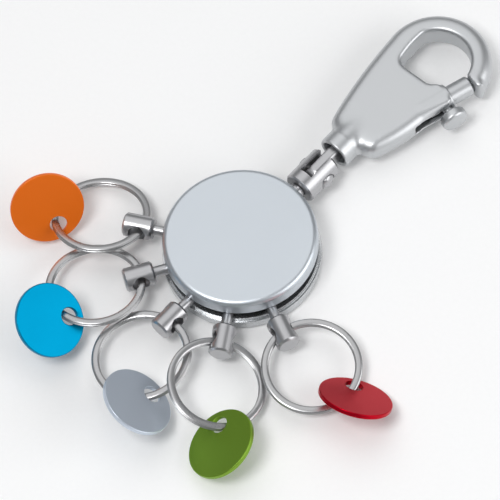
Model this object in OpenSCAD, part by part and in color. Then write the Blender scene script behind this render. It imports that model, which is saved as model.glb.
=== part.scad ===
// Key organiser: a flat round hub that carries five key rings with coloured tags on swivelling
// studs, and a bolt-snap carabiner on a swivelling, folding fork.
// Frame: millimetres, +Z up. The hub's axis is Z, its back face lies on Z = 0 and the
// carabiner points along +Y. Every stud and the fork lie at the hub's middle height.

/* [Hub shell] */
// Diameter of the base shell's rim
base_d = 39.8; // [34:0.1:60]
// Height of the wide rim on the base shell
base_rim_h = 3.4; // [2.4:0.1:4]
// Height of the base shell up to the open track
base_h = 4.5; // [4.2:0.1:8]
// Diameter of the top cover
cap_d = 38.8; // [33:0.1:59]
// Height of the top cover
cap_h = 4.4; // [3.8:0.1:8]
// Radius of the top cover's rounded edge
cap_edge_r = 1.5; // [0.5:0.1:2.5]
// Height of the open track between base and cover
track_gap = 2.9; // [2.4:0.1:4]
// Wall thickness of the top cover
shell_wall = 1; // [0.7:0.05:1.5]
// Thickness of the base shell's floor
floor_t = 1.2; // [1:0.05:1.6]

/* [Release mechanism] */
// Diameter of the release button's face
button_d = 13.8; // [11:0.1:15]
// How far the cover lifts when the button is pressed
lift_travel = 1.9; // [1:0.1:2.2]
// Diameter of the centre post
post_d = 4; // [3:0.1:5]
// Height above the back face of the bridge plate's lower side
bridge_z = 5.6; // [5:0.1:6.5]
// Thickness of the bridge plate
bridge_t = 1; // [0.8:0.05:1.4]
// Diameter of the bridge plate's legs
leg_d = 3.2; // [2.8:0.1:4]
// Wire diameter of the release spring
release_wire_d = 0.5; // [0.3:0.05:0.7]

/* [Ring studs and collars] */
// Diameter of a stud's shank
shank_d = 2.7; // [2:0.05:3.2]
// Diameter of a stud's ball head
ball_d = 4.6; // [3.6:0.1:5]
// Distance from the hub's axis to the middle of a ball head
ball_r = 14.2; // [13.8:0.1:15]
// Gap between the base shell's rim and the collars
collar_out = 2.75; // [1.5:0.05:6]
// Diameter of a collar
collar_d = 6; // [5.6:0.1:8]
// Length of a collar
collar_len = 7.7; // [7.4:0.1:12]
// Diameter of a collar's cross hole
cross_hole_d = 4.4; // [3.8:0.1:4.6]

/* [Split rings and tags] */
// Outer diameter of a split ring
ring_d = 25; // [22:0.5:30]
// Width of a split ring's wire across the ring
wire_w = 1.9; // [1.4:0.1:2.2]
// Thickness of one turn of a split ring
turn_t = 0.75; // [0.5:0.05:0.85]
// Diameter of a tag
tag_d = 18.6; // [16:0.1:24]
// Thickness of a tag
tag_t = 1.2; // [0.8:0.1:1.6]
// Diameter of the hole in a tag
tag_hole_d = 4.4; // [4:0.1:5]
// Distance from a tag's middle to its hole
tag_hole_offset = 5.5; // [5:0.1:6]

/* [Fork and tongue] */
// Diameter of the swivel stud's shaft
stud_d = 2.7; // [2.2:0.05:3]
// Diameter of the fork
fork_d = 8.6; // [7.6:0.1:11]
// Length of the fork
fork_len = 10.5; // [10:0.1:14]
// Distance from the fork's inner end to the pin
fork_pin_at = 6.3; // [6:0.1:7]
// Width of the fork's slot
slot_w = 3.6; // [3.2:0.1:4]
// Diameter of the fork pin
pin_d = 2; // [1.6:0.05:2.2]
// Thickness of the tongue
tongue_t = 2.9; // [2.4:0.1:3.1]
// Height of the tongue
tongue_h = 4.8; // [4:0.1:5]
// Diameter of the tongue's swivel stem
stem_d = 4; // [3.2:0.1:4.2]

/* [Carabiner] */
// Distance from the fork pin to the carabiner's collar
collar_gap = 6.8; // [6.6:0.1:9]
// Diameter of the carabiner's collar
neck_d = 8.9; // [8.9:0.1:12]
// Bore of the carabiner's collar
neck_bore_d = 6.9; // [6.9:0.1:7.4]
// Thickness of the carabiner's body
body_t = 7; // [6.6:0.1:9]
// Outer radius of the hook
hook_r = 14.1; // [13.6:0.1:17]
// Width of the hook's limb
limb_w = 5.3; // [4.6:0.1:6]
// Diameter of the sliding bolt
bolt_d = 5.2; // [4.4:0.1:5.3]
// Travel of the sliding bolt
bolt_travel = 8; // [5:0.5:8.5]
// Diameter of the thumb knob
knob_d = 6.6; // [5:0.1:8]
// Wire diameter of the bolt spring
bolt_wire_d = 0.5; // [0.3:0.05:0.6]

/* [Hidden] */

$fn = 96;
fine = 0.02;                                 // clearance where two pieces only touch
run = 0.05;                                  // radial clearance of a running fit
steel = [0.70, 0.71, 0.73];
pearl = [0.79, 0.80, 0.81];

hub_h = base_h + track_gap + cap_h;          // height of the whole hub
mid_z = base_h + track_gap / 2;              // height of the studs' axes
base_r = base_d / 2;
cap_r = cap_d / 2;
collar_r = base_r + collar_out + collar_len / 2;    // from the hub's axis to a cross hole
inner_r = cap_r - shell_wall - 0.1;          // inside of both shells' walls
neck_r = cap_r - 0.1;                        // narrow upper band of the base shell
lip_r = ball_r + 2;                          // inner edge of the races that hold the balls
ceiling_z = hub_h - shell_wall;

// Release mechanism
button_r = button_d / 2;
button_hole_r = button_r + 0.2;
button_face_z = 0.3;
flange_z = floor_t + 0.1;
flange_t = 0.7;
leg_r = ball_r - ball_d / 2 - 0.5 - leg_d / 2;  // circle on which the bridge's legs stand
bridge_r = leg_r + leg_d / 2 + 0.2;
flange_r = leg_r - leg_d / 2 - 0.2;
boss_r = post_d / 2 + 1.2;
boss_z = flange_z + flange_t + 0.6;
post_bottom_z = button_face_z + 0.6;
stop_t = 0.8;
stop_z = bridge_z + bridge_t + fine;
post_screw_d = post_d - 1.4;
cover_boss_z = hub_h - shell_wall - 2.4;
screw_d = leg_d / 2 + 0.2;
screw_head_d = 3.2;
screw_head_t = 0.6;
leg_angles = [30, 150, 270];
spring_coil_r = boss_r + release_wire_d / 2 + 0.6;

// Swivel anchor and stud
anchor_w = 7;
anchor_in = ball_r - 1.8;
anchor_out = sqrt(pow(inner_r - 0.2, 2) - pow(anchor_w / 2, 2));
anchor_top = mid_z + ball_d / 2 + 0.3;
stud_head_d = 4.2;
stud_head_t = 1.1;
anchor_screw_r = anchor_in + 2;
anchor_screw_top = 3.4;
shoulder_in = base_r + 0.2;
shoulder_t = 1.2;
shoulder_d = 4.2;

// Fork and tongue, measured along Y
fork_in = shoulder_in + shoulder_t + 0.2;
fork_out = fork_in + fork_len;
pin_y = fork_in + fork_pin_at;
eye_r = tongue_h / 2;
slot_in = pin_y - eye_r - 0.9;
rivet_t = 0.55;
rivet_d = 4.8;
spot_x = fork_d / 2 - 0.4;
pin_head_d = 4;
pin_head_h = 1.2;

// Carabiner, measured along Y from the collar's end
neck_in = pin_y + collar_gap;
neck_bore_len = 6.6;
clip_y = neck_in + 2.7;
clip_t = 0.8;
clip_r = neck_bore_d / 2 + 0.4;
stem_in = neck_in + 2.2;
head_y = clip_y + clip_t + 0.5;
head_t = 1.6;
head_d = neck_bore_d - 0.4;
hook_x = 3.2;
hook_y = neck_in + 35.7;
limb_r = hook_r - limb_w / 2;
opening_r = hook_r - limb_w;
sill_y = neck_in + 29.4;
mouth_x = hook_x + 8;
mouth_y = neck_in + 30.4;
bolt_tilt = 17;
barrel_r = bolt_d / 2 + 1.1;
mouth_len = 0.6;
neck_at = 2.2;                               // knob's neck behind the mouth
knob_neck_d = 2.6;
bolt_front = 6.9;
bolt_len = 13.4;
bolt_back = bolt_front - bolt_len;
bore_end = bolt_back - bolt_travel - 3.2;
slot_front = -neck_at + knob_neck_d / 2 + 0.2;
slot_back = -neck_at - bolt_travel - knob_neck_d / 2 - 0.2;
bolt_coil_r = bolt_d / 2 - bolt_wire_d / 2 - 0.3;
knob_in = 5.2;
knob_t = 2.2;

// Split rings
ring_r = ring_d / 2;
ring_mean_r = ring_r - wire_w / 2;
ring_t = 2 * turn_t;
seam = 0.08;

// How each station lies when the organiser is put down on a table, in degrees and millimetres.
// A station is [angle round the hub, collar roll, ring swing, ring yaw, ring shift in its hole].
orange_lie = [207, 14, -3, -9, -0.9];
blue_lie = [238, 9, 2, -4, -0.5];
silver_lie = [270, 4, -3, 6, 0.3];
green_lie = [302, -18, 2, 3, 0.5];
red_lie = [335, -1, -7, 15, -0.2];
// A tag is [place on the ring, its three turns, shift outwards, shift along the ring's axis].
orange_tag = [35, -47, -61, -36, -0.7, -0.3];
blue_tag = [44, -37, -22, -27, -0.3, 0];
silver_tag = [49, -21, -37, -55, -0.2, 0];
green_tag = [12, 48, -10, -5, -0.5, -0.2];
red_tag = [23, -18, -41, -56, 0.1, 0.1];

// ---------- placing ----------

module along_y(from) {
    translate([0, from, mid_z]) rotate([-90, 0, 0]) children();
}

module at_station(lie) {
    rotate([0, 0, lie[0]]) translate([0, 0, mid_z]) rotate([lie[1], 0, 0]) children();
}

module at_ring(lie) {
    at_station(lie) translate([collar_r, 0, 0]) rotate([0, -lie[2], 0]) rotate([0, 0, lie[3]])
        translate([ring_mean_r + lie[4], 0, 0]) children();
}

module at_tag(lie, tag) {
    at_ring(lie) rotate([0, 0, tag[0]]) translate([ring_mean_r + tag[4], 0, tag[5]])
        rotate([tag[1], tag[2], tag[3]]) children();
}

module in_bolt_frame() {
    translate([mouth_x, mouth_y, mid_z]) rotate([0, 0, -bolt_tilt]) children();
}

// Cylinder along the bolt's axis between two places on it.
module bolt_rod(r, from, to) {
    in_bolt_frame() translate([0, from, 0]) rotate([-90, 0, 0]) cylinder(r = r, h = to - from);
}

// ---------- shared shapes ----------

// Outline of a disc's edge with a round corner, for turning about Z.
module rounded_band(r, h, corner) {
    square([r - corner, h]);
    square([r, h - corner]);
    translate([r - corner, h - corner]) circle(r = corner);
}

// Closed round bar along Z with a chamfer at both ends.
module chamfered_bar(r, h, c) {
    rotate_extrude()
        polygon([[0, 0], [r - c, 0], [r, c], [r, h - c], [r - c, h], [0, h]]);
}

function coil_point(r, turns, rise, t) =
    [r * cos(360 * turns * t), r * sin(360 * turns * t), rise * t];

// Round wire wound into a helix about Z, closed at both ends.
module coil(r, wire, turns, rise) {
    sides = 8;
    steps = round(turns * 20);
    slope = atan2(rise, 2 * PI * r * turns);
    ring_points = [
        for (i = [0:steps], k = [0:sides - 1])
            let (
                turn = 360 * turns * i / steps,
                a = 360 * k / sides,
                out = wire / 2 * cos(a),
                up = wire / 2 * sin(a),
                p = coil_point(r, turns, rise, i / steps)
            )
            p + [
                out * cos(turn) + up * sin(slope) * sin(turn),
                out * sin(turn) - up * sin(slope) * cos(turn),
                up * cos(slope)
            ]
    ];
    walls = [
        for (i = [0:steps - 1], k = [0:sides - 1])
            let (n = (k + 1) % sides)
            [i * sides + k, (i + 1) * sides + k, (i + 1) * sides + n, i * sides + n]
    ];
    first = [[for (k = [0:sides - 1]) k]];
    last = [[for (k = [sides - 1:-1:0]) steps * sides + k]];
    polyhedron(points = ring_points, faces = concat(walls, first, last), convexity = 10);
}

// ---------- hub ----------

module base_shell() {
    color(steel) difference() {
        rotate_extrude() difference() {
            union() {
                translate([0, base_rim_h]) mirror([0, 1]) rounded_band(base_r, base_rim_h, 1.2);
                square([neck_r, base_h]);
            }
            translate([0, -1]) square([button_hole_r, base_h + 2]);
            translate([0, floor_t]) square([inner_r, base_h]);
        }
        screw_places() {
            translate([0, 0, -1]) cylinder(d = screw_head_d + 0.3, h = 1 + screw_head_t);
            translate([0, 0, -1]) cylinder(d = screw_d + 0.2, h = floor_t + 2);
        }
    }
}

// Runs its children at every screw in the base: three bridge legs and the swivel anchor.
module screw_places() {
    for (a = leg_angles) rotate([0, 0, a]) translate([leg_r, 0, 0]) children();
    translate([0, anchor_screw_r, 0]) children();
}

module race(z, h) {
    translate([0, 0, z]) difference() {
        rotate_extrude() translate([lip_r, 0]) square([inner_r - lip_r - fine, h]);
        translate([-anchor_w / 2 - 0.4, 0, -1]) cube([anchor_w + 0.8, base_r, h + 2]);
    }
}

module lower_race() {
    color("silver") race(floor_t, base_h - floor_t);
}

module upper_race() {
    color("silver") race(base_h + track_gap, ceiling_z - base_h - track_gap);
}

module spring_bridge() {
    color("silver") difference() {
        union() {
            translate([0, 0, bridge_z]) cylinder(r = bridge_r, h = bridge_t);
            for (a = leg_angles) rotate([0, 0, a]) translate([leg_r, 0, floor_t])
                cylinder(d = leg_d, h = bridge_z - floor_t + fine);
        }
        cylinder(r = post_d / 2 + run, h = hub_h);
        for (a = leg_angles) rotate([0, 0, a]) translate([leg_r, 0, -1])
            cylinder(r = screw_d / 2 + fine, h = 1 + anchor_screw_top + 0.4);
    }
}

// Pan-head screws with a cross recess, driven in from the back.
module shell_screws() {
    color(steel) screw_places() difference() {
        union() {
            translate([0, 0, 0.1]) cylinder(d = screw_head_d, h = screw_head_t - 0.1);
            translate([0, 0, 0.1]) cylinder(d = screw_d, h = anchor_screw_top - 0.1);
        }
        for (a = [0, 90]) rotate([0, 0, a]) translate([-0.9, -0.2, -1]) cube([1.8, 0.4, 1.4]);
    }
}

module swivel_anchor() {
    color(steel) difference() {
        translate([-anchor_w / 2, anchor_in, floor_t])
            cube([anchor_w, anchor_out - anchor_in, anchor_top - floor_t]);
        along_y(anchor_in - 1) cylinder(r = stud_d / 2 + fine, h = anchor_w);
        along_y(anchor_in - 1) cylinder(d = stud_head_d + 0.2, h = 1 + stud_head_t + 0.1);
        translate([0, anchor_screw_r, -1]) cylinder(r = screw_d / 2 + fine, h = 5);
    }
}

// Fixed stud: inner head, shaft through the track, shoulder, and a riveted end in the fork.
module swivel_stud() {
    color(steel) along_y(anchor_in) rotate_extrude() union() {
        square([stud_head_d / 2, stud_head_t]);
        square([stud_d / 2, slot_in - anchor_in + rivet_t]);
        translate([0, shoulder_in - anchor_in]) square([shoulder_d / 2, shoulder_t]);
        translate([0, slot_in - anchor_in + fine]) square([rivet_d / 2, rivet_t - fine]);
    }
}

module top_cover() {
    color("lightsteelblue") difference() {
        translate([0, 0, hub_h - cap_h]) rotate_extrude() union() {
            difference() {
                rounded_band(cap_r, cap_h, cap_edge_r);
                square([inner_r, cap_h - shell_wall]);
            }
            translate([0, cover_boss_z - hub_h + cap_h])
                square([post_d / 2 + 1.4, hub_h - cover_boss_z - shell_wall / 2]);
        }
        translate([0, 0, cover_boss_z - 1])
            cylinder(r = post_screw_d / 2 + fine, h = 1 + hub_h - cover_boss_z - shell_wall / 2);
    }
}

module centre_post() {
    color(steel) rotate_extrude() union() {
        translate([0, post_bottom_z]) square([post_d / 2, cover_boss_z - fine - post_bottom_z]);
        translate([0, stop_z]) square([boss_r, stop_t]);
        translate([0, post_bottom_z])
            square([post_screw_d / 2, ceiling_z - 0.1 - post_bottom_z]);
    }
}

module release_button() {
    color(steel) difference() {
        rotate_extrude() union() {
            translate([0, flange_z]) mirror([0, 1])
                rounded_band(button_r, flange_z - button_face_z, 0.4);
            translate([0, flange_z]) square([flange_r, flange_t]);
            translate([0, flange_z]) square([boss_r, boss_z - flange_z]);
        }
        translate([0, 0, post_bottom_z - fine]) cylinder(r = post_d / 2 + fine, h = hub_h);
    }
}

module release_spring() {
    low = flange_z + flange_t + release_wire_d / 2 + 0.06;
    high = bridge_z - release_wire_d / 2 - 0.06;
    color("silver") translate([0, 0, low])
        coil(spring_coil_r, release_wire_d, 3, high - low);
}

// ---------- ring stations ----------

// Ball head in the track, shank, and a small head riveted inside the collar.
module ring_stud(lie) {
    inner_end = collar_r - collar_len / 2;
    color(steel) at_station(lie) rotate([0, 90, 0]) rotate_extrude() union() {
        translate([0, ball_r]) intersection() {
            circle(d = ball_d);
            translate([0, -ball_d]) square([ball_d, 2 * ball_d]);
        }
        translate([0, ball_r]) square([shank_d / 2, inner_end + 1.5 - ball_r]);
        translate([0, inner_end + 1]) square([shank_d / 2 + 0.4, 0.5]);
    }
}

module ring_collar(lie) {
    inner_end = collar_r - collar_len / 2;
    chamber = collar_len / 2 - 0.85;
    color("gainsboro") at_station(lie) difference() {
        translate([inner_end, 0, 0]) rotate([0, 90, 0]) chamfered_bar(collar_d / 2, collar_len, 0.5);
        translate([inner_end - 1, 0, 0]) rotate([0, 90, 0])
            cylinder(r = shank_d / 2 + run, h = collar_len / 2);
        translate([inner_end + 0.85, 0, 0]) rotate([0, 90, 0])
            cylinder(r = shank_d / 2 + 0.5, h = chamber);
        translate([collar_r, 0, 0]) rotate([90, 0, 0])
            cylinder(d = cross_hole_d, h = 2 * collar_d, center = true);
        for (side = [0, 1]) mirror([0, side, 0]) translate([collar_r, collar_d / 2 - 0.35, 0])
            rotate([-90, 0, 0]) cylinder(d1 = cross_hole_d, d2 = cross_hole_d + 0.7, h = 0.35);
    }
}

// Two flat turns of wire lying on each other, with a fine seam between them.
module split_ring(lie) {
    color("gainsboro") at_ring(lie) rotate_extrude() difference() {
        translate([ring_r - wire_w, -turn_t]) square([wire_w, ring_t]);
        for (edge = [ring_r, ring_r - wire_w]) translate([edge, 0])
            rotate(45) square(seam * sqrt(2), center = true);
    }
}

module tag(lie, tag_lie, tint) {
    edge = 0.25;
    color(tint) at_tag(lie, tag_lie) difference() {
        translate([tag_hole_offset, 0, -tag_t / 2]) chamfered_bar(tag_d / 2, tag_t, edge);
        cylinder(d = tag_hole_d, h = 2 * tag_t, center = true);
    }
}

module stud_orange() { ring_stud(orange_lie); }
module stud_blue() { ring_stud(blue_lie); }
module stud_silver() { ring_stud(silver_lie); }
module stud_green() { ring_stud(green_lie); }
module stud_red() { ring_stud(red_lie); }

module collar_orange() { ring_collar(orange_lie); }
module collar_blue() { ring_collar(blue_lie); }
module collar_silver() { ring_collar(silver_lie); }
module collar_green() { ring_collar(green_lie); }
module collar_red() { ring_collar(red_lie); }

module split_ring_orange() { split_ring(orange_lie); }
module split_ring_blue() { split_ring(blue_lie); }
module split_ring_silver() { split_ring(silver_lie); }
module split_ring_green() { split_ring(green_lie); }
module split_ring_red() { split_ring(red_lie); }

module tag_orange() { tag(orange_lie, orange_tag, [0.82, 0.39, 0.08]); }
module tag_blue() { tag(blue_lie, blue_tag, [0.03, 0.65, 0.88]); }
module tag_silver() { tag(silver_lie, silver_tag, [0.58, 0.61, 0.64]); }
module tag_green() { tag(green_lie, green_tag, [0.35, 0.49, 0.15]); }
module tag_red() { tag(red_lie, red_tag, [0.65, 0.16, 0.23]); }

// ---------- fork and tongue ----------

module swivel_fork() {
    bore_r = stud_d / 2 + run;
    color("gainsboro") difference() {
        along_y(fork_in) chamfered_bar(fork_d / 2, fork_len, 0.4);
        translate([-slot_w / 2, slot_in, mid_z - fork_d])
            cube([slot_w, fork_out - slot_in + 1, 2 * fork_d]);
        along_y(fork_in - 1) cylinder(r = bore_r, h = fork_len);
        along_y(slot_in - fine) cylinder(r = rivet_d / 2 + 0.1, h = rivet_t + 0.15);
        translate([0, pin_y, mid_z]) rotate([0, 90, 0]) {
            cylinder(r = pin_d / 2 + fine, h = 2 * fork_d, center = true);
            for (side = [-1, 1]) translate([0, 0, side * (spot_x + fork_d / 2)])
                cylinder(d = pin_head_d + 0.4, h = fork_d, center = true);
        }
    }
}

// Domed head on the +X side, riveted tail on the other.
module fork_pin() {
    color(steel) translate([0, pin_y, mid_z]) rotate([0, 90, 0]) {
        translate([0, 0, -spot_x - 0.5]) cylinder(d = pin_d, h = 2 * spot_x + 0.6);
        translate([0, 0, -spot_x - 0.5]) cylinder(d = pin_d + 0.8, h = 0.5);
        translate([0, 0, spot_x]) rotate_extrude() intersection() {
            square([pin_head_d / 2, pin_head_h]);
            translate([0, pin_head_h - 2.6]) circle(r = 2.6);
        }
    }
}

module swivel_tongue() {
    color(steel) difference() {
        union() {
            translate([0, pin_y, mid_z]) rotate([0, 90, 0])
                cylinder(r = eye_r, h = tongue_t, center = true);
            translate([-tongue_t / 2, pin_y, mid_z - tongue_h / 2])
                cube([tongue_t, stem_in - pin_y, tongue_h]);
            along_y(stem_in - 0.5) cylinder(d = stem_d, h = head_y - stem_in + 1);
            along_y(head_y) chamfered_bar(head_d / 2, head_t, 0.25);
        }
        translate([0, pin_y, mid_z]) rotate([0, 90, 0])
            cylinder(r = pin_d / 2 + run, h = 2 * tongue_t, center = true);
    }
}

// Open spring clip in a groove inside the collar, in front of the tongue's head.
module swivel_circlip() {
    color("gray") along_y(clip_y) rotate([0, 0, 20]) rotate_extrude(angle = 325)
        translate([stem_d / 2 + 0.15, 0]) square([clip_r - fine - stem_d / 2 - 0.15, clip_t]);
}

// ---------- carabiner ----------

// Round pad with a rounded edge above and below, a corner of the body's hull.
module pad(x, y, r) {
    soft = 1.7;
    translate([x, y, mid_z]) for (step = [0:3]) {
        a = 30 * step;
        cylinder(r = r - soft * (1 - cos(a)), h = body_t - 2 * soft * (1 - sin(a)),
                 center = true, $fn = 32);
    }
}

module hook_section() {
    soft = 2.1;
    for (x = [-1, 1], y = [-1, 1])
        translate([limb_r + x * (limb_w / 2 - soft), y * (body_t / 2 - soft)])
            circle(r = soft);
    translate([limb_r - limb_w / 2 + soft, -body_t / 2]) square([limb_w - 2 * soft, body_t]);
    translate([limb_r - limb_w / 2, -body_t / 2 + soft]) square([limb_w, body_t - 2 * soft]);
}

// Pear-shaped plate between the collar and the hook's opening.
module pear_plate() {
    difference() {
        hull() {
            pad(-2.9, neck_in + 8.4, 4);
            pad(5, neck_in + 8.7, 4.2);
            pad(hook_x - hook_r + 3.3, neck_in + 31.6, 3.3);
            pad(mouth_x - 3.2, neck_in + 17, 4.2);
            pad(mouth_x - 0.7, mouth_y - 3.5, 4);
        }
        intersection() {
            translate([hook_x, hook_y, 0]) cylinder(r = opening_r, h = hub_h);
            translate([hook_x - hook_r, sill_y, 0]) cube([2 * hook_r, hook_r, hub_h]);
        }
    }
}

module carabiner_body() {
    color(pearl) difference() {
        union() {
            pear_plate();
            translate([hook_x, hook_y, mid_z]) rotate([0, 0, -6]) rotate_extrude(angle = 208)
                hook_section();
            along_y(neck_in) chamfered_bar(neck_d / 2, neck_bore_len + 1.4, 0.5);
            bolt_rod(barrel_r, bolt_back, mouth_len);
        }
        // room for the bolt between the mouth and the hook's tip
        in_bolt_frame() translate([-5, mouth_len, -body_t])
            cube([10, bolt_front - mouth_len + 0.1, 2 * body_t]);
        bolt_rod(bolt_d / 2 + run, bore_end, mouth_len + 1);
        in_bolt_frame() translate([0, slot_back, -knob_neck_d / 2 - 0.2])
            cube([body_t + 2, slot_front - slot_back, knob_neck_d + 0.4]);
        along_y(neck_in - 1) cylinder(d = neck_bore_d, h = neck_bore_len + 1);
        along_y(clip_y - 0.05) cylinder(r = clip_r, h = clip_t + 0.1);
    }
}

module snap_bolt() {
    color("gainsboro") difference() {
        in_bolt_frame() translate([0, bolt_back, 0]) rotate([-90, 0, 0])
            chamfered_bar(bolt_d / 2, bolt_len, 0.5);
        in_bolt_frame() translate([1, -neck_at, 0]) rotate([0, 90, 0])
            cylinder(r = knob_neck_d / 2 + fine, h = body_t);
    }
}

module bolt_spring() {
    length = bolt_back - bore_end - bolt_wire_d - 0.12;
    color("silver") in_bolt_frame()
        translate([0, bore_end + bolt_wire_d / 2 + 0.06, 0]) rotate([-90, 0, 0])
            coil(bolt_coil_r, bolt_wire_d, 5, length);
}

// Neck pressed into the bolt, and a round domed head that the thumb pulls back.
module thumb_knob() {
    color(pearl) in_bolt_frame() translate([0, -neck_at, 0]) rotate([0, 90, 0])
        rotate_extrude() union() {
            translate([0, 1 + fine]) square([knob_neck_d / 2, knob_in]);
            translate([0, knob_in + knob_t]) mirror([0, 1]) rounded_band(knob_d / 2, knob_t, 0.6);
            translate([0, knob_in]) rounded_band(knob_d / 2, knob_t, 0.9);
        }
}

base_shell();
lower_race();
spring_bridge();
shell_screws();
swivel_anchor();
swivel_stud();
top_cover();
upper_race();
centre_post();
release_button();
release_spring();
stud_orange();
stud_blue();
stud_silver();
stud_green();
stud_red();
collar_orange();
collar_blue();
collar_silver();
collar_green();
collar_red();
split_ring_orange();
split_ring_blue();
split_ring_silver();
split_ring_green();
split_ring_red();
tag_orange();
tag_blue();
tag_silver();
tag_green();
tag_red();
swivel_fork();
fork_pin();
swivel_tongue();
swivel_circlip();
carabiner_body();
snap_bolt();
bolt_spring();
thumb_knob();
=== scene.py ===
# %% [markdown]
# # Key organiser with five ring stations and a snap carabiner
# The moving model was made first and is loaded here as a fixed frame: every piece below takes
# its place from it. Sizes are written in millimetres, as on a maker's drawing, and turned to
# metres in one place, when a mesh is finished.

from math import cos, pi, radians, sin

import bmesh
import bpy
from mathutils import Matrix, Vector


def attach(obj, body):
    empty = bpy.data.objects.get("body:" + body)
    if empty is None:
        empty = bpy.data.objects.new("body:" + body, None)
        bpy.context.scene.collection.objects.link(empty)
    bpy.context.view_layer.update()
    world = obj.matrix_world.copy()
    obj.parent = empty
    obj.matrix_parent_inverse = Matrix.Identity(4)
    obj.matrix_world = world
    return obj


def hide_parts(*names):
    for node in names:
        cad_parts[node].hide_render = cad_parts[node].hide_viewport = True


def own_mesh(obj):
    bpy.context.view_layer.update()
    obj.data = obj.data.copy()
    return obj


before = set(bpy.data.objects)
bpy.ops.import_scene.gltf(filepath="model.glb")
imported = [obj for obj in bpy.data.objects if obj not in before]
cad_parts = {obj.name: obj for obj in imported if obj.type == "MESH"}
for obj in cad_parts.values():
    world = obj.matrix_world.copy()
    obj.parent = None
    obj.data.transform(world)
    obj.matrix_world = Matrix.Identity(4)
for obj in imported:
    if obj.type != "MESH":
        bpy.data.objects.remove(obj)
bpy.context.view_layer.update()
MM = 0.001

# %% [markdown]
# ## Where things lie
# The hub's axis is Z and its back lies on Z = 0. Each station is a stud in the hub's track, a
# collar on the stud, a split ring through the collar and a tag on the ring. Their places could be
# measured from the frame's meshes, but the turns and shifts that the moving model was built from
# are few and exact, so they are written out, and a new ring lands on the old one.

# %% Places of the stations
MID_Z = 5.95  # height of the studs, the fork and the carabiner over the hub's back
COLLAR_R = 26.5  # from the hub's axis to the cross hole of a collar
RING_R, WIRE_W, TURN_T = 12.5, 1.9, 0.75  # a split ring's outer radius, its strip's section
RING_MEAN_R = RING_R - WIRE_W / 2

# station: turn round the hub, collar roll, ring swing, ring yaw, ring shift in its hole
STATIONS = {
    "orange": (207, 14, -3, -9, -0.9),
    "blue": (238, 9, 2, -4, -0.5),
    "silver": (270, 4, -3, 6, 0.3),
    "green": (302, -18, 2, 3, 0.5),
    "red": (335, -1, -7, 15, -0.2),
}
# tag: place on the ring, its three turns, shift outwards, shift along the ring's axis
TAGS = {
    "orange": (35, -47, -61, -36, -0.7, -0.3),
    "blue": (44, -37, -22, -27, -0.3, 0),
    "silver": (49, -21, -37, -55, -0.2, 0),
    "green": (12, 48, -10, -5, -0.5, -0.2),
    "red": (23, -18, -41, -56, 0.1, 0.1),
}


def turn(angle, axis):
    return Matrix.Rotation(radians(angle), 4, axis)


def shift(x, y, z):
    return Matrix.Translation((x, y, z))


def station_place(colour):
    angle, roll = STATIONS[colour][:2]
    return turn(angle, "Z") @ shift(0, 0, MID_Z) @ turn(roll, "X")


def ring_place(colour):
    swing, yaw, slide = STATIONS[colour][2:]
    hole = station_place(colour) @ shift(COLLAR_R, 0, 0)
    return hole @ turn(-swing, "Y") @ turn(yaw, "Z") @ shift(RING_MEAN_R + slide, 0, 0)


def tag_place(colour):
    along, rx, ry, rz, out, up = TAGS[colour]
    wire = ring_place(colour) @ turn(along, "Z") @ shift(RING_MEAN_R + out, 0, up)
    return wire @ turn(rz, "Z") @ turn(ry, "Y") @ turn(rx, "X")


for colour in STATIONS:
    centre = ring_place(colour).translation
    print(colour, "ring centre", [round(v, 1) for v in centre])

# %% [markdown]
# ## A few workshop helpers
# `turned` is a lathe: it spins a half profile about Z. `soften` breaks the sharp edges, because
# real metal never has a perfectly sharp corner and the small bevels catch the light. A Bevel
# modifier could do that too, but the operator can be told which edges. `finish` sends a mesh to
# the scene: in metres, in its place, smooth where its faces meet gently.

# %% Helpers for shapes
WELD = 0.001  # vertices nearer than this are one


def half_profile(bm, points):
    """Adds a chain of vertices and the edges between them."""
    verts = [bm.verts.new(p) for p in points]
    edges = [bm.edges.new(pair) for pair in zip(verts, verts[1:])]
    return verts + edges


def spin(bm, geom, angle, steps, rise=0.0, merge=False):
    made = bmesh.ops.spin(
        bm, geom=geom, cent=(0, 0, 0), axis=(0, 0, 1), dvec=(0, 0, rise / steps),
        angle=angle, steps=steps, use_merge=merge, use_duplicate=False,
    )
    return made["geom_last"]


def weld(bm):
    bmesh.ops.remove_doubles(bm, verts=bm.verts, dist=WELD)
    bmesh.ops.recalc_face_normals(bm, faces=bm.faces)


def turned(profile, steps=96):
    """A lathe: profile is a chain of (radius, height) points."""
    bm = bmesh.new()
    spin(bm, half_profile(bm, [(r, 0, z) for r, z in profile]), 2 * pi, steps, merge=True)
    weld(bm)
    return bm


def soften(bm, width, segments=3, sharper_than=35, where=None, clamp=True):
    """Rounds every edge whose two faces meet at more than the angle."""
    edges = [
        e for e in bm.edges
        if len(e.link_faces) == 2 and e.calc_face_angle(0) > radians(sharper_than)
        and (where is None or where((e.verts[0].co + e.verts[1].co) / 2))
    ]
    bmesh.ops.bevel(
        bm, geom=edges, offset=width, offset_type="OFFSET", affect="EDGES",
        segments=segments, profile=0.5, material=-1, clamp_overlap=clamp,
    )


def finish(name, bm, material, body, *nodes, place=Matrix.Identity(4), smooth=50):
    """Turns millimetres to metres and hands the piece to its body."""
    bmesh.ops.transform(bm, matrix=Matrix.Scale(MM, 4) @ place, verts=bm.verts)
    mesh = bpy.data.meshes.new(name)
    bm.to_mesh(mesh)
    bm.free()
    mesh.shade_smooth()
    mesh.set_sharp_from_angle(angle=radians(smooth))
    mesh.materials.append(material)
    piece = bpy.data.objects.new(name, mesh)
    bpy.context.scene.collection.objects.link(piece)
    flats = piece.modifiers.new("flat faces stay flat", "WEIGHTED_NORMAL")
    flats.keep_sharp = True
    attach(piece, body)
    if nodes:
        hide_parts(*nodes)
    print(f"{name}: {len(mesh.polygons)} faces")
    return piece

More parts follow.
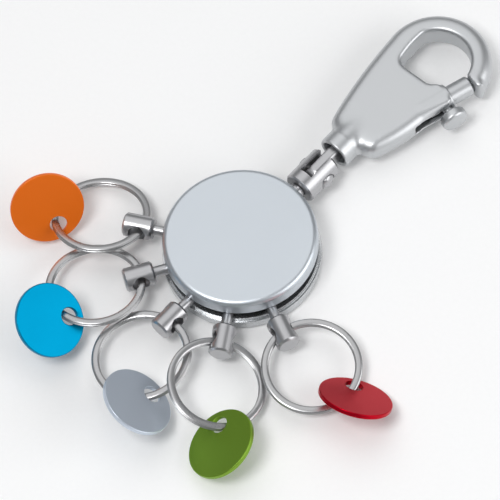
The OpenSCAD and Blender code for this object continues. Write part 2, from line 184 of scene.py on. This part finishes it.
# %% [markdown]
# ## Colours and the one node helper
# Colours are written as the sRGB hex values a designer would pick, and one function turns them
# into the linear numbers that light works in. `add` puts in any node with its settings and its
# links, which keeps a material as short as the list of its nodes.

# %% Helpers for materials
def linear(hex_colour):
    parts = [int(hex_colour[i:i + 2], 16) / 255 for i in (1, 3, 5)]
    bent = [p / 12.92 if p <= 0.04045 else ((p + 0.055) / 1.055) ** 2.4 for p in parts]
    return (*bent, 1.0)


def add(tree, kind, settings=None, links=None):
    """Adds a node, sets its properties and inputs, and links outputs to its inputs."""
    node = tree.nodes.new(kind)
    for key, value in (settings or {}).items():
        if isinstance(key, str) and hasattr(node, key):
            setattr(node, key, value)
        else:
            node.inputs[key].default_value = value
    for key, socket in (links or {}).items():
        tree.links.new(socket, node.inputs[key])
    return node


def blank(name):
    material = bpy.data.materials.new(name)
    material.use_nodes = True
    tree = material.node_tree
    shader = tree.nodes["Principled BSDF"]
    where = add(tree, "ShaderNodeTexCoord").outputs["Object"]
    return material, tree, shader, where


# %% [markdown]
# ## Sprayed and plated metal
# Everything here is metal, but sprayed, plated, bare or dyed. What tells the finishes apart is
# how wide the highlight is and how fine the grain is, so one recipe takes a colour, a middle
# roughness and a grain size in millimetres, and each finish states its own. A picture of metal
# could be laid on instead, but a noise needs no file and keeps its size on every piece.

# %% Metal recipe
CLOUD_MM = 14  # slow wander, as a hand leaves on a plated piece after some days in a pocket
CLOUD_SHARE = 0.45
NOISE_LOW, NOISE_HIGH = 0.35, 1.1  # what the grain and its share of the cloud come to
GRAIN_DEPTH = 0.02


def grained_metal(name, colour, rough, grain_mm, dent=0.04, spread=0.06, metallic=1.0):
    """Metal whose roughness and surface wander over a grain of the stated size."""
    material, tree, shader, where = blank(name)
    grain = add(
        tree, "ShaderNodeTexNoise", {"Scale": 1 / (grain_mm * MM), "Detail": 3.0},
        {"Vector": where},
    )
    cloud = add(
        tree, "ShaderNodeTexNoise", {"Scale": 1 / (CLOUD_MM * MM), "Detail": 2.0},
        {"Vector": where},
    )
    mixed = add(
        tree, "ShaderNodeMath", {"operation": "MULTIPLY_ADD", 1: CLOUD_SHARE},
        {0: cloud.outputs["Fac"], 2: grain.outputs["Fac"]},
    )
    rough_out = add(
        tree, "ShaderNodeMapRange",
        {"From Min": NOISE_LOW, "From Max": NOISE_HIGH,
         "To Min": rough - spread, "To Max": rough + spread},
        {"Value": mixed.outputs[0]},
    )
    bump = add(
        tree, "ShaderNodeBump", {"Strength": dent, "Distance": GRAIN_DEPTH * MM},
        {"Height": grain.outputs["Fac"]},
    )
    shader.inputs["Base Color"].default_value = linear(colour)
    shader.inputs["Metallic"].default_value = metallic
    tree.links.new(rough_out.outputs[0], shader.inputs["Roughness"])
    tree.links.new(bump.outputs[0], shader.inputs["Normal"])
    return material


# %% [markdown]
# Each finish below is a known one with its usual roughness. The grain of real blasting, plating
# and spraying is about 0.05 mm, too fine to show, so it is drawn at 0.15 to 0.3 mm.

# %% The finishes
# The cover is sprayed with a satin pearl lacquer: even, pale and slightly blue.
PEARL_LACQUER = grained_metal("satin pearl lacquer", "#C9CFD5", 0.40, 0.25)
# The carabiner is die-cast zinc with a matt pearl chrome plate: soft, wide highlights.
PEARL_CHROME = grained_metal("matt pearl chrome", "#C8CACC", 0.42, 0.3, dent=0.02, spread=0.03)
# Studs, collars and the fork are turned steel with a satin nickel plate: one soft line of light
# along each barrel.
NICKEL = grained_metal("turned nickel-plated steel", "#B6B6B8", 0.33, 0.2, dent=0.15)
# Split rings are hardened steel strip, rolled, tumbled and plated: a slightly tighter highlight.
RING_STEEL = grained_metal("plated spring steel", "#B4B4B5", 0.30, 0.3, dent=0.12)
# The base shell and button are drawn sheet, smoother under their nickel plate than turned steel.
SATIN_NICKEL = grained_metal("satin nickel sheet", "#CACCCE", 0.27, 0.25)
# Inner pieces are bare turned steel, duller because nobody polished them.
BARE_STEEL = grained_metal("bare turned steel", "#A6A7A9", 0.36, 0.2, dent=0.12)
# Springs are drawn wire, dark from their heat treatment.
SPRING_WIRE = grained_metal("tempered spring wire", "#8D8E92", 0.3, 0.15)
# Tags are blasted and anodised aluminium: the dye sits in a clear oxide over the matt metal. The
# number is how much of the metal still shines through, and the orange dye is nearly opaque.
DYES = {
    "orange": ("#EE6F03", 0.25), "blue": ("#027EA5", 1.0), "silver": ("#CDD6E2", 0.8),
    "green": ("#7FA535", 0.8), "red": ("#C00E24", 1.0),
}
ANODISED = {
    c: grained_metal(f"{c} anodised aluminium", tint, 0.36, 0.18, dent=0.06, metallic=shine)
    for c, (tint, shine) in DYES.items()
}
print("finishes:", len(bpy.data.materials))

# %% [markdown]
# ## Finish on the pieces kept from the frame
# Inner pieces are seen only when the hub is open or from below. They could be built again, but
# their frame meshes have the right shape, so they are shown as they are and only get their metal.

# %% Materials for the frame's own pieces
KEPT = {
    "lower_race": BARE_STEEL, "upper_race": BARE_STEEL, "spring_bridge": BARE_STEEL,
    "swivel_anchor": BARE_STEEL, "shell_screws": NICKEL, "centre_post": BARE_STEEL,
    "swivel_circlip": SPRING_WIRE,
}
for node, metal in KEPT.items():
    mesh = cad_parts[node].data
    mesh.materials.clear()
    mesh.materials.append(metal)
print("kept from the frame:", ", ".join(KEPT))

# %% [markdown]
# ## Machined pieces with their edges broken
# Collars, studs, fork and tongue come off a lathe and a mill, the base shell and the button off
# a press. Each could be drawn anew, but the frame already holds its bores and flats. So a copy of
# its mesh is merged, its flat facets are joined, and every sharp edge is bevelled by a tenth of a
# millimetre or so, which is what a deburring drum does to the real ones.

# %% Deburring
FRAME_WELD = 0.0005  # the frame's meshes are loose triangles whose corners meet exactly
FLAT, SHARP = 0.5, 38  # degrees: facets that lie in one plane, edges that get a bevel


def frame_copy(node):
    """The node's mesh in millimetres, with its loose triangles merged."""
    bm = bmesh.new()
    bm.from_mesh(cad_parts[node].data)
    bmesh.ops.scale(bm, vec=(1 / MM,) * 3, verts=bm.verts)
    bmesh.ops.remove_doubles(bm, verts=bm.verts, dist=FRAME_WELD)
    return bm


def deburred(name, node, material, body, width, segments=2, broad=None):
    """A copy of the node with broken edges; broad is a second, wider bevel and where it goes."""
    bm = frame_copy(node)
    bmesh.ops.dissolve_limit(
        bm, angle_limit=radians(FLAT), verts=bm.verts, edges=bm.edges, delimit={"NORMAL"}
    )
    if broad:
        soften(bm, broad[0], 5, sharper_than=SHARP, where=broad[1], clamp=False)
    soften(bm, width, segments, sharper_than=SHARP)
    return finish(name, bm, material, body, node, smooth=40)


# %% Machined pieces
# piece: its node, its metal, its body and the width of its broken edges
MACHINED = {
    "drawn_base_shell": ("base_shell", SATIN_NICKEL, "hub_base", 0.15),
    "drawn_release_button": ("release_button", SATIN_NICKEL, "cover", 0.1),
    "turned_swivel_stud": ("swivel_stud", NICKEL, "hub_base", 0.1),
    "milled_swivel_fork": ("swivel_fork", NICKEL, "fork", 0.12),
    "riveted_fork_pin": ("fork_pin", NICKEL, "fork", 0.06),
}
TONGUE_ROUND = 0.8


def tongue_corner(p):
    """The long corners of the tongue's flat part, which is rounded to fold in the fork."""
    return abs(p.x) > 1.4 and abs(p.z - MID_Z) > 1.9


for colour in STATIONS:
    deburred(f"{colour}_collar", f"collar_{colour}", NICKEL, f"collar_{colour}", 0.12)
    deburred(f"{colour}_ball_stud", f"stud_{colour}", NICKEL, f"stud_{colour}", 0.05)
for name, settings in MACHINED.items():
    deburred(name, *settings)
deburred(
    "milled_swivel_tongue", "swivel_tongue", NICKEL, "tongue", 0.1,
    broad=(TONGUE_ROUND, tongue_corner),
)
deburred("turned_snap_bolt", "snap_bolt", PEARL_CHROME, "bolt", 0.3, segments=3)

# %% [markdown]
# ## Top cover
# A cup with a broad soft edge, and a boss inside that the centre post screws into. A cylinder
# with a Bevel modifier would give the outside only, so the whole section is turned like the real
# one, and then the outer top edge is rounded.

# %% Top cover
HUB_TOP, COVER_R, SKIRT_Z = 11.8, 19.4, 7.4
COVER_INNER_R, CEILING_Z, BOSS_R, BOSS_Z = 18.3, 10.8, 3.4, 8.4
POST_HOLE_R, POST_HOLE_END = 1.32, 0.5  # the hole goes a little deeper than the ceiling
COVER_ROUND, SKIRT_ROUND = 1.5, 0.15
cover = turned([
    (0, HUB_TOP), (COVER_R, HUB_TOP), (COVER_R, SKIRT_Z), (COVER_INNER_R, SKIRT_Z),
    (COVER_INNER_R, CEILING_Z), (BOSS_R, CEILING_Z), (BOSS_R, BOSS_Z), (POST_HOLE_R, BOSS_Z),
    (POST_HOLE_R, CEILING_Z + POST_HOLE_END), (0, CEILING_Z + POST_HOLE_END),
], steps=144)
soften(cover, COVER_ROUND, 8, where=lambda p: p.z > HUB_TOP - 0.1)
soften(cover, SKIRT_ROUND, 2, where=lambda p: p.z < SKIRT_Z + 0.1)
finish("satin_top_cover", cover, PEARL_LACQUER, "cover", "top_cover")

# %% [markdown]
# ## Split rings
# One strip, crowned a little by rolling and wound twice. It lies in the lower layer for most of
# the first turn, steps up by its own thickness, and lies in the upper layer for the second turn,
# so each face of the ring has one cut end. A curve with a bevel could follow that path, but it
# would twist at the step, while a section that is spun stays level. The step is where a key is
# threaded on. It is turned into the collar's hole, where a ring that has slid round often stops.

# %% Strip of a split ring
CROWN = 1.08  # the strip's section is an oval this much thicker than the strip, cut flat
LAYER_GAP = 0.01
STEP_ANGLE = 26.0
CROSSING = 180 + STEP_ANGLE / 2
LAYER_STEPS, CLIMB_STEPS = 90, 8


def strip_section(bm, width, thick):
    """Outline of the strip, crowned at its edges, standing in the XZ plane."""
    verts = bmesh.ops.create_circle(bm, radius=0.5, segments=28)["verts"]
    bmesh.ops.scale(bm, vec=(width, thick * CROWN, 1), verts=verts)
    for vert in verts:
        vert.co.y = min(max(vert.co.y, -thick / 2), thick / 2)
    bmesh.ops.rotate(bm, cent=(0, 0, 0), matrix=Matrix.Rotation(pi / 2, 3, "X"), verts=verts)
    return bm.verts[:] + bm.edges[:]


# %% Wind the split rings
for colour in STATIONS:
    bm = bmesh.new()
    section = strip_section(bm, WIRE_W, TURN_T - LAYER_GAP)
    bmesh.ops.translate(bm, vec=(RING_MEAN_R, 0, -TURN_T / 2), verts=bm.verts)
    full = radians(360 - STEP_ANGLE)
    low = spin(bm, section, full, LAYER_STEPS)
    climb = spin(bm, low, radians(STEP_ANGLE), CLIMB_STEPS, rise=TURN_T)
    spin(bm, climb, full, LAYER_STEPS)
    bmesh.ops.holes_fill(bm, edges=[e for e in bm.edges if e.is_boundary], sides=0)
    bmesh.ops.recalc_face_normals(bm, faces=bm.faces)
    bmesh.ops.rotate(
        bm, cent=(0, 0, 0), matrix=Matrix.Rotation(radians(CROSSING), 3, "Z"),
        verts=bm.verts,
    )
    finish(
        f"{colour}_split_ring", bm, RING_STEEL, f"ring_{colour}", f"split_ring_{colour}",
        place=ring_place(colour),
    )

# %% [markdown]
# ## Tags
# A tag is stamped from sheet with its hole off centre. It could be a disc with a boolean for the
# hole. Two circles, the rim and the hole, bridged into one flat face ring, give cleaner edges to
# round. The ring gets the sheet's thickness and is tumbled smooth.

# %% Tags
TAG_R, TAG_T, HOLE_R, HOLE_OFFSET, TAG_EDGE = 9.3, 1.2, 2.2, 5.5, 0.22
for colour in STATIONS:
    bm = bmesh.new()
    rim = bmesh.ops.create_circle(bm, radius=TAG_R, segments=96)["verts"]
    hole = bmesh.ops.create_circle(bm, radius=HOLE_R, segments=96)["verts"]
    bmesh.ops.translate(bm, vec=(HOLE_OFFSET, 0, 0), verts=rim)
    bmesh.ops.bridge_loops(bm, edges=bm.edges[:])
    bmesh.ops.solidify(bm, geom=bm.faces[:], thickness=TAG_T)
    middle = sum((v.co.z for v in bm.verts), 0.0) / len(bm.verts)
    bmesh.ops.translate(bm, vec=(0, 0, -middle), verts=bm.verts)
    weld(bm)
    soften(bm, TAG_EDGE, 3)
    finish(
        f"{colour}_tag", bm, ANODISED[colour], f"tag_{colour}", f"tag_{colour}",
        place=tag_place(colour),
    )

# %% [markdown]
# ## Carabiner body
# A flat pear-shaped casting whose upper end runs round into the hook. It could be a thick curve
# for the hook with a lump for the body, but then the two never share one flat face. So its
# outline is drawn once, as arcs and gently bowed sides, extruded to the full thickness and
# rounded generously on both faces, as a casting has to be to leave its mould.

# %% Carabiner outline
BODY_T, HOOK_X, HOOK_Y, HOOK_R, OPENING_R = 7.0, 3.2, 70.3, 14.1, 8.8
MOUTH_X, MOUTH_Y, BOLT_TILT = 11.2, 65.0, 17  # where the bolt leaves the body, and its lean
BOLT_PLACE = shift(MOUTH_X, MOUTH_Y, MID_Z) @ turn(-BOLT_TILT, "Z")


def arc(x, y, radius, start, end, count):
    angles = [radians(start + (end - start) * i / count) for i in range(count + 1)]
    return [(x + radius * cos(a), y + radius * sin(a)) for a in angles]


def bow(a, b, sag, count=8):
    """Points of a shallow curve from a to b that swells by sag to the right of its way."""
    along = Vector(b) - Vector(a)
    side = Vector((along.y, -along.x)).normalized()
    return [
        tuple(Vector(a) + along * t + side * sag * 4 * t * (1 - t))
        for t in [i / count for i in range(1, count)]
    ]


def by_bolt(x, y):
    """A place given across and along the bolt, in the hub's frame."""
    return tuple((BOLT_PLACE @ Vector((x, y, 0)))[:2])


# %% Runs of the outline
# angles at which the hook's two arcs start and end
HOOK_TIP, HOOK_BACK, OPENING_TIP, OPENING_BACK = 9.4, 188.6, 12.1, 152
TIP_CORNER_R = 1.6
LEFT_SWELL, RIGHT_SWELL, OPENING_SWELL = 0.55, 0.45, -0.35
left_foot = arc(-2.9, 43.0, 4.0, HOOK_BACK, 270, 8)
right_foot = arc(5.0, 43.3, 4.2, 270, 340, 7)
tip_corner = [by_bolt(x, y) for x, y in arc(2.08, 8.6, TIP_CORNER_R, -90, 20, 6)]
hook_outside = arc(HOOK_X, HOOK_Y, HOOK_R, HOOK_TIP, HOOK_BACK, 42)
hook_inside = arc(HOOK_X, HOOK_Y, OPENING_R, OPENING_BACK, OPENING_TIP, 30)
# the right edge follows the bolt's barrel, from the slot's foot to the mouth
barrel_side = [by_bolt(3.9, -9.0), by_bolt(3.6, -1.6)]
mouth = [by_bolt(2.6, -0.3), by_bolt(-2.6, -0.3), by_bolt(-3.4, -1.2)]
sill = [(6.9, 64.5), (5.7, 63.95), (-1.3, 63.8), (-2.6, 64.0), (-3.5, 64.6), (-4.1, 65.6)]
outer_run = (
    hook_outside + bow(hook_outside[-1], left_foot[0], LEFT_SWELL) + left_foot + right_foot
    + bow(right_foot[-1], barrel_side[0], RIGHT_SWELL) + barrel_side
)
inner_run = sill + bow(sill[-1], hook_inside[0], OPENING_SWELL, 6) + hook_inside
outline = tip_corner + outer_run + mouth + inner_run
print("outline points:", len(outline))

# %% [markdown]
# ## Shells and cutters of the casting
# The plate, the barrel round the bolt and the neck that fades into the plate are rough shells.
# They are joined and then cut like solids: the neck's bore, the slot for the knob and the bolt's
# bore. Weaving all that into one mesh by hand is possible but slow, and booleans keep each
# feature a simple shape of its own.

# %% Plain bars and blocks
def bar(radius, start, end, sides=64):
    """A closed round bar along Y."""
    bm = bmesh.new()
    bmesh.ops.create_cone(
        bm, cap_ends=True, segments=sides, radius1=radius, radius2=radius, depth=end - start,
        matrix=shift(0, (start + end) / 2, 0) @ turn(90, "X"),
    )
    return bm


def block(low, high):
    bm = bmesh.new()
    bmesh.ops.create_cube(bm, size=1)
    bmesh.ops.scale(bm, vec=[h - l for l, h in zip(low, high)], verts=bm.verts)
    bmesh.ops.translate(bm, vec=[(h + l) / 2 for l, h in zip(low, high)], verts=bm.verts)
    return bm


def moved(bm, matrix):
    bmesh.ops.transform(bm, matrix=matrix, verts=bm.verts)
    return bm


# %% Plate
OUTER_ROUND, INNER_ROUND = 3.1, 1.1
plate = bmesh.new()
face = plate.faces.new([plate.verts.new((x, y, MID_Z - BODY_T / 2)) for x, y in outline])
solid = bmesh.ops.extrude_face_region(plate, geom=[face])["geom"]
bmesh.ops.translate(
    plate, vec=(0, 0, BODY_T), verts=[g for g in solid if isinstance(g, bmesh.types.BMVert)]
)
bmesh.ops.recalc_face_normals(plate, faces=plate.faces)


def round_rims(run, radius):
    """Rounds the plate's upper and lower edges along one run of the outline."""
    places = {(round(x, 3), round(y, 3)) for x, y in run}
    rims = [
        e for e in plate.edges
        if abs(e.verts[0].co.z - e.verts[1].co.z) < 0.1
        and all((round(v.co.x, 3), round(v.co.y, 3)) in places for v in e.verts)
    ]
    bmesh.ops.bevel(
        plate, geom=rims, offset=radius, offset_type="OFFSET", affect="EDGES", segments=8,
        profile=0.5, material=-1, clamp_overlap=False,
    )


round_rims(outer_run, OUTER_ROUND)
round_rims(inner_run, INNER_ROUND)
print("plate faces:", len(plate.faces))

# %% Neck, barrel and cutters
NECK_IN, NECK_R, NECK_BORE_R, NECK_BORE_END = 34.6, 4.45, 3.45, 6.6
# (radius, distance along): the neck from its open end, the barrel from the mouth backwards
NECK_PROFILE = [
    (0, 0), (NECK_R, 0), (NECK_R, 3.6), (4.3, 5.4), (4.0, 7.6), (3.6, 10.2), (2.6, 12.0),
    (0, 12.0),
]
BARREL_PROFILE = [
    (0, -16.0), (1.8, -15.4), (2.7, -13.6), (3.3, -11.0), (3.6, -8.0), (3.6, 0.6), (0, 0.6)
]
BOLT_BORE_R, BOLT_BORE_END = 2.72, -17.8
SLOT_LOW, SLOT_HIGH = (2.2, -11.7, -1.5), (8.0, -0.3, 1.5)
neck = turned(NECK_PROFILE, steps=64)
moved(neck, shift(0, NECK_IN, MID_Z) @ turn(-90, "X"))
barrel = turned(BARREL_PROFILE, steps=64)
shells = [moved(barrel, BOLT_PLACE @ turn(-90, "X")), neck]
# The slot is cut before the bolt's bore, because the solver loses the body the other way round.
cutters = [
    moved(bar(NECK_BORE_R, -1.0, NECK_BORE_END), shift(0, NECK_IN, MID_Z)),
    moved(block(SLOT_LOW, SLOT_HIGH), BOLT_PLACE),
    moved(bar(BOLT_BORE_R, BOLT_BORE_END, 2.0), BOLT_PLACE),
]
print("shells:", 1 + len(shells), "cutters:", len(cutters))

# %% [markdown]
# ## Casting
# A plated casting has no sharp inner corner. Fillets could be bevelled one by one, but the seams
# between the shells run in odd curves. So the joined solid is rebuilt from small even cells and
# relaxed a few times, which leaves the flat faces flat and melts the seams into soft fillets.

# %% Joining, cutting and rebuilding
CELL = 0.22


def as_object(bm):
    mesh = bpy.data.meshes.new("workpiece")
    bm.to_mesh(mesh)
    bm.free()
    thing = bpy.data.objects.new("workpiece", mesh)
    bpy.context.scene.collection.objects.link(thing)
    return thing


def applied(thing):
    """The object's mesh with its modifiers done, as a new bmesh."""
    graph = bpy.context.evaluated_depsgraph_get()
    done = bpy.data.meshes.new_from_object(thing.evaluated_get(graph))
    bm = bmesh.new()
    bm.from_mesh(done)
    bpy.data.meshes.remove(done)
    return bm


def drop(thing):
    mesh = thing.data
    bpy.data.objects.remove(thing)
    bpy.data.meshes.remove(mesh)


def joined_and_cut(bm, shells, cutters):
    body = as_object(bm)
    tools = []
    for way, parts in (("UNION", shells), ("DIFFERENCE", cutters)):
        for part in parts:
            tools.append(as_object(part))
            step = body.modifiers.new(way, "BOOLEAN")
            step.operation, step.object, step.solver = way, tools[-1], "EXACT"
    cells = body.modifiers.new("cells", "REMESH")
    cells.mode, cells.voxel_size = "VOXEL", CELL
    made = applied(body)
    for thing in (body, *tools):
        drop(thing)
    return made


def relax(bm, verts, times):
    for _ in range(times):
        bmesh.ops.smooth_vert(
            bm, verts=verts, factor=0.5, use_axis_x=True, use_axis_y=True, use_axis_z=True
        )


# %% Cast the body
ALL_PASSES, SEAM_PASSES, TIP_PASSES = 9, 24, 8
SEAM_REACHES, TIP_REACHES = (8.0, 7.0, 6.0, 5.2, 4.6), (3.6, 2.8, 2.0)
NECK_RIM, SEAM_IN = 3.8, 6.5  # from the neck's open end: its crisp rim, the middle of the seam
TIP_CORNER = Vector((2.6, 8.4))  # across and along the bolt
casting = joined_and_cut(plate, shells, cutters)
relax(casting, casting.verts, ALL_PASSES)
# the neck runs out into the plate, so its seam gets more passes the nearer a vertex is
for reach in SEAM_REACHES:
    near = [
        v for v in casting.verts
        if v.co.y > NECK_IN + NECK_RIM
        and Vector((v.co.x, v.co.y - NECK_IN - SEAM_IN)).length < reach
    ]
    relax(casting, near, SEAM_PASSES)
# and so does the outer corner of the hook's tip
to_bolt = BOLT_PLACE.inverted()
for reach in TIP_REACHES:
    tip = [v for v in casting.verts if ((to_bolt @ v.co).xy - TIP_CORNER).length < reach]
    relax(casting, tip, TIP_PASSES)
finish("cast_carabiner_body", casting, PEARL_CHROME, "carabiner", "carabiner_body", smooth=60)

# %% [markdown]
# ## Springs
# Both springs are wound wire that sits between two pieces and shortens when one of them comes
# nearer. A helix could be wound again, but the frame's coil is already right. So each keeps it.


def coiled(name, node, body):
    """A copy of the frame's coil in spring wire, with a mesh of its own."""
    spring = finish(name, frame_copy(node), SPRING_WIRE, body, node, smooth=60)
    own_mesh(spring)


coiled(
    "wound_bolt_spring", "bolt_spring", "carabiner",
)
coiled(
    "wound_release_spring", "release_spring", "hub_base",
)

# %% [markdown]
# ## Thumb knob
# A small mushroom, turned and plated like the body, whose neck stands in the bolt and slides in
# the slot. A cylinder with rounded edges would do for the head, but the lathe also gives its
# domed face and its neck.

# %% Thumb knob
KNOB_AT, KNOB_R, KNOB_IN, KNOB_TOP, KNOB_ROUND = -1.7, 3.45, 4.8, 7.9, 0.6
KNOB_NECK_R, KNOB_NECK_FOOT = 1.3, 1.02
knob = turned([
    (0, KNOB_NECK_FOOT), (KNOB_NECK_R, KNOB_NECK_FOOT), (KNOB_NECK_R, KNOB_IN), (KNOB_R, KNOB_IN),
    (KNOB_R, KNOB_TOP - 0.7), (2.6, KNOB_TOP - 0.33), (1.4, KNOB_TOP - 0.1), (0, KNOB_TOP),
], steps=64)
soften(knob, KNOB_ROUND, 5, where=lambda p: Vector(p.xy).length > KNOB_R - 0.05)
finish(
    "mushroom_thumb_knob", knob, PEARL_CHROME, "bolt", "thumb_knob",
    place=BOLT_PLACE @ shift(0, KNOB_AT, 0) @ turn(90, "Y"),
)

# %% [markdown]
# ## Table
# A sheet of pale matt paper. It is one large face, a hair under the hub's back so that the two
# flat faces don't flicker, and a curved studio sweep isn't needed because the view is from above.

# %% Table
TABLE_DROP = 0.05
FIBRES_PER_METRE = 900.0  # flocks of about 1.1 mm


def staged(thing):
    bpy.context.scene.collection.objects.link(thing)
    return thing


table_bm = bmesh.new()
bmesh.ops.create_grid(
    table_bm, x_segments=1, y_segments=1, size=3.0, matrix=shift(0, 0, -TABLE_DROP * MM)
)
table_mesh = bpy.data.meshes.new("table")
table_bm.to_mesh(table_mesh)
table_bm.free()
paper, tree, shader, where = blank("pale table paper")
fibre = add(tree, "ShaderNodeTexNoise", {"Scale": FIBRES_PER_METRE}, {"Vector": where})
tone = add(
    tree, "ShaderNodeMapRange", {"To Min": 0.93, "To Max": 0.96}, {"Value": fibre.outputs["Fac"]}
)
tree.links.new(tone.outputs[0], shader.inputs["Base Color"])
shader.inputs["Roughness"].default_value = 0.8
shader.inputs["Specular IOR Level"].default_value = 0.2
table_mesh.materials.append(paper)
staged(bpy.data.objects.new("table", table_mesh))
print("table:", len(table_mesh.polygons), "face")

# %% [markdown]
# ## Light and room
# Three soft lamps and a grey room. Metal shows what it mirrors, so the lamps are placed by what
# each flat face should reflect, and the room is darker than they are: that gives the turned
# pieces their dark lines. One sky picture could do all of it, but lamps can be moved one by one.
# The plain view transform keeps pale lacquer white and the dyes full.

# %% Lights and room
HUB_MIDDLE = Vector((0, 0, HUB_TOP * MM))


def toward(azimuth, elevation):
    a, e = radians(azimuth), radians(elevation)
    return Vector((cos(e) * cos(a), cos(e) * sin(a), sin(e)))


def soft_box(name, azimuth, elevation, distance, width, height, watts):
    lamp = bpy.data.lights.new(name, "AREA")
    lamp.shape = "RECTANGLE"
    lamp.size, lamp.size_y, lamp.energy = width, height, watts
    box = staged(bpy.data.objects.new(name, lamp))
    way = toward(azimuth, elevation)
    box.matrix_world = Matrix.Translation(HUB_MIDDLE + way * distance) @ (
        way.to_track_quat("Z", "Y").to_matrix().to_4x4()
    )


# lamp: azimuth, elevation, distance, width and height in metres, watts
LAMPS = {
    "soft box over the back": (140, 60, 1.2, 1.2, 1.2, 4.0),
    "strip from the right": (26, 26, 1.0, 1.0, 0.7, 5.2),
    "small lamp on the left": (270, 66, 1.0, 0.35, 0.35, 4.2),
}
ROOM_COLOUR, ROOM_STRENGTH = "#F2F4F6", 0.30
for name, settings in LAMPS.items():
    soft_box(name, *settings)
room = bpy.data.worlds.new("grey room")
room.use_nodes = True
wall = room.node_tree.nodes["Background"]
wall.inputs["Color"].default_value = linear(ROOM_COLOUR)
wall.inputs["Strength"].default_value = ROOM_STRENGTH
bpy.context.scene.world = room
bpy.context.scene.view_settings.view_transform = "Standard"
print("lamps:", ", ".join(LAMPS))

# %% [markdown]
# ## Camera
# A long lens from far away, high over the right-hand side and rolled a little. A short lens
# nearby could frame the same view, but it would make the near tags look too large. The small
# shift slides the picture without turning the camera.

# %% Camera
CAMERA_AZ, CAMERA_EL, CAMERA_ROLL, DISTANCE = -40, 61, -9, 1.2
FIELD, SENSOR = 0.12376, 36  # metres seen at the hub, and the sensor's width in millimetres
way = toward(CAMERA_AZ, CAMERA_EL)
level = Vector((-sin(radians(CAMERA_AZ)), cos(radians(CAMERA_AZ)), 0))
above = way.cross(level)
roll = radians(CAMERA_ROLL)
right = level * cos(roll) + above * sin(roll)
up = above * cos(roll) - level * sin(roll)
lens = bpy.data.cameras.new("long lens")
lens.sensor_width = SENSOR
lens.lens = SENSOR * DISTANCE / FIELD
lens.shift_x, lens.shift_y = 0.0208, -0.0282
lens.clip_start, lens.clip_end = 0.05, 10
camera = staged(bpy.data.objects.new("camera", lens))
seat = HUB_MIDDLE + way * DISTANCE
camera.matrix_world = Matrix((
    (right.x, up.x, way.x, seat.x), (right.y, up.y, way.y, seat.y),
    (right.z, up.z, way.z, seat.z), (0, 0, 0, 1),
))
bpy.context.scene.camera = camera
print("lens:", round(lens.lens), "mm")
